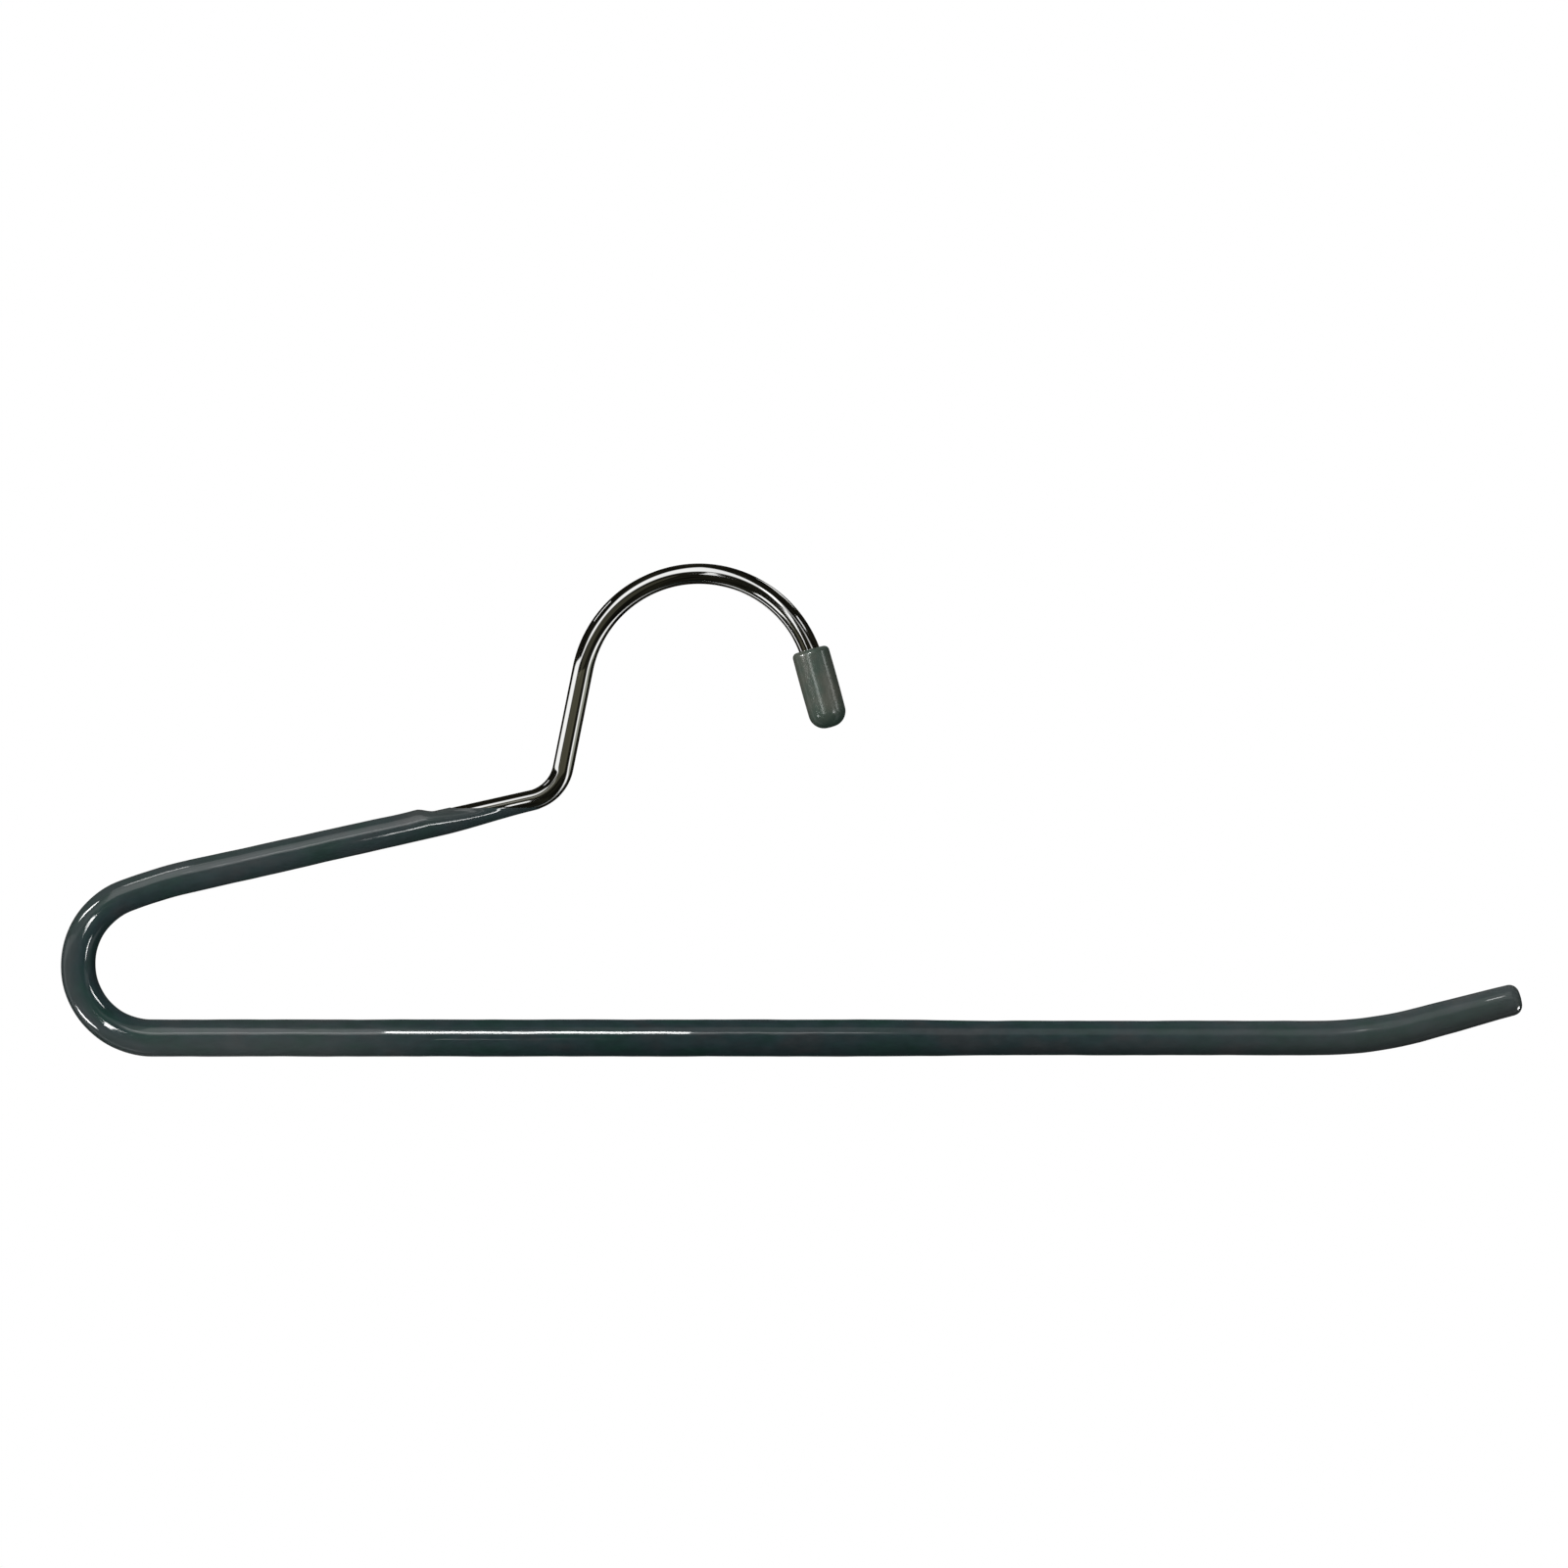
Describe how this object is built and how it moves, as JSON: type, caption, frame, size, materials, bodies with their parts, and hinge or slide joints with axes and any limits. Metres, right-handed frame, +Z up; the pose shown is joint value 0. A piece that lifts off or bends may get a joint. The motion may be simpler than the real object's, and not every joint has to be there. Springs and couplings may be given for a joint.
{
  "type": "trouser hanger",
  "caption": "Open-ended trouser hanger bent from one chrome rod, with a rail hook, a sloping arm and a level bar under a soft vinyl coat, and a vinyl cap on the hook's end.",
  "frame": {"origin": "centre of the hook's arc, where the axis of a rail as wide as the hook would lie", "axes": "+Z up as the hanger hangs, +X along the trouser bar towards its open tip, +Y along the rail"},
  "size_m": [0.35, 0.009, 0.1182],
  "materials": {
    "chrome_rod": "bright chrome plating with fine drawing lines along the rod",
    "vinyl_coat": "dark green-grey dipped vinyl, smooth and glossy, soft to the touch",
    "vinyl_cap": "green-grey vinyl cap, satin, with a rounded closed end"
  },
  "bodies": {
    "root": {"bent_rod": "chrome_rod", "grip_coat": "vinyl_coat", "hook_cap": "vinyl_cap"}
  },
  "joints": []
}
